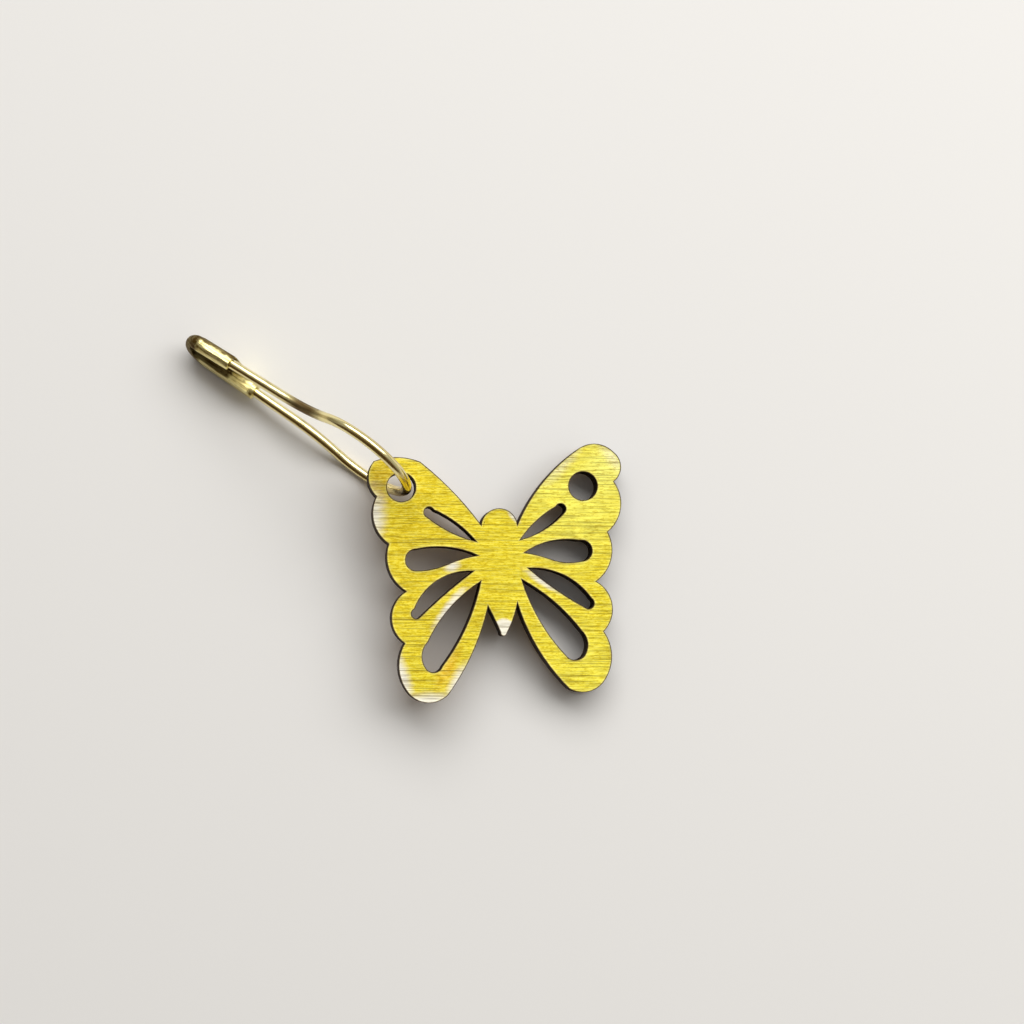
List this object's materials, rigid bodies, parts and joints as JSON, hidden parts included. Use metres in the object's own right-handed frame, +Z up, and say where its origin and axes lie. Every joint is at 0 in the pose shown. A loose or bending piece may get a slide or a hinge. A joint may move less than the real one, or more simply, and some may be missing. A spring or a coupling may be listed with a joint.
{
  "type": "stitch marker",
  "caption": "Coilless bulb pin of bent brass wire with a folded sheet cap, threaded through one wing tip of a laser-cut, painted plywood butterfly charm.",
  "frame": {"origin": "on the table, below the middle of the whole object's box, as it lies", "axes": "+X along the pin from its cap to its bulb, +Z up from the table, +Y to the side that the pin leans to"},
  "size_m": [0.0434, 0.0254, 0.0098],
  "materials": {
    "wire": "bright drawn wire",
    "cap_sheet": "bright stamped sheet",
    "painted_veneer": "thin yellow paint over fine grain, burnt edges",
    "core_veneer": "laser-burnt edge",
    "back_veneer": "bare veneer, burnt edges"
  },
  "bodies": {
    "pin_frame": {"fixed_leg": "wire", "bulb_bend": "wire", "cap": "cap_sheet"},
    "pin_leg": {"free_leg": "wire"},
    "charm": {"back_ply": "back_veneer", "core_ply": "core_veneer", "front_ply": "painted_veneer"}
  },
  "joints": [
    {"name": "pin_opening", "type": "hinge", "parent": "pin_frame", "child": "pin_leg", "pos_m": [0.00008, 0.00119, 0.00575], "axis": [-0.1878, -0.1478, 0.971], "range_deg": [0, 30], "stiffness_Nm_per_rad": 0.002, "deforming": ["bulb_bend"]},
    {"name": "charm_swing", "type": "hinge", "parent": "pin_frame", "child": "charm", "pos_m": [-0.00039, 0.00076, 0.00347], "axis": [0.1111, 0.0637, 0.9918], "range_deg": [-85, 115]}
  ]
}
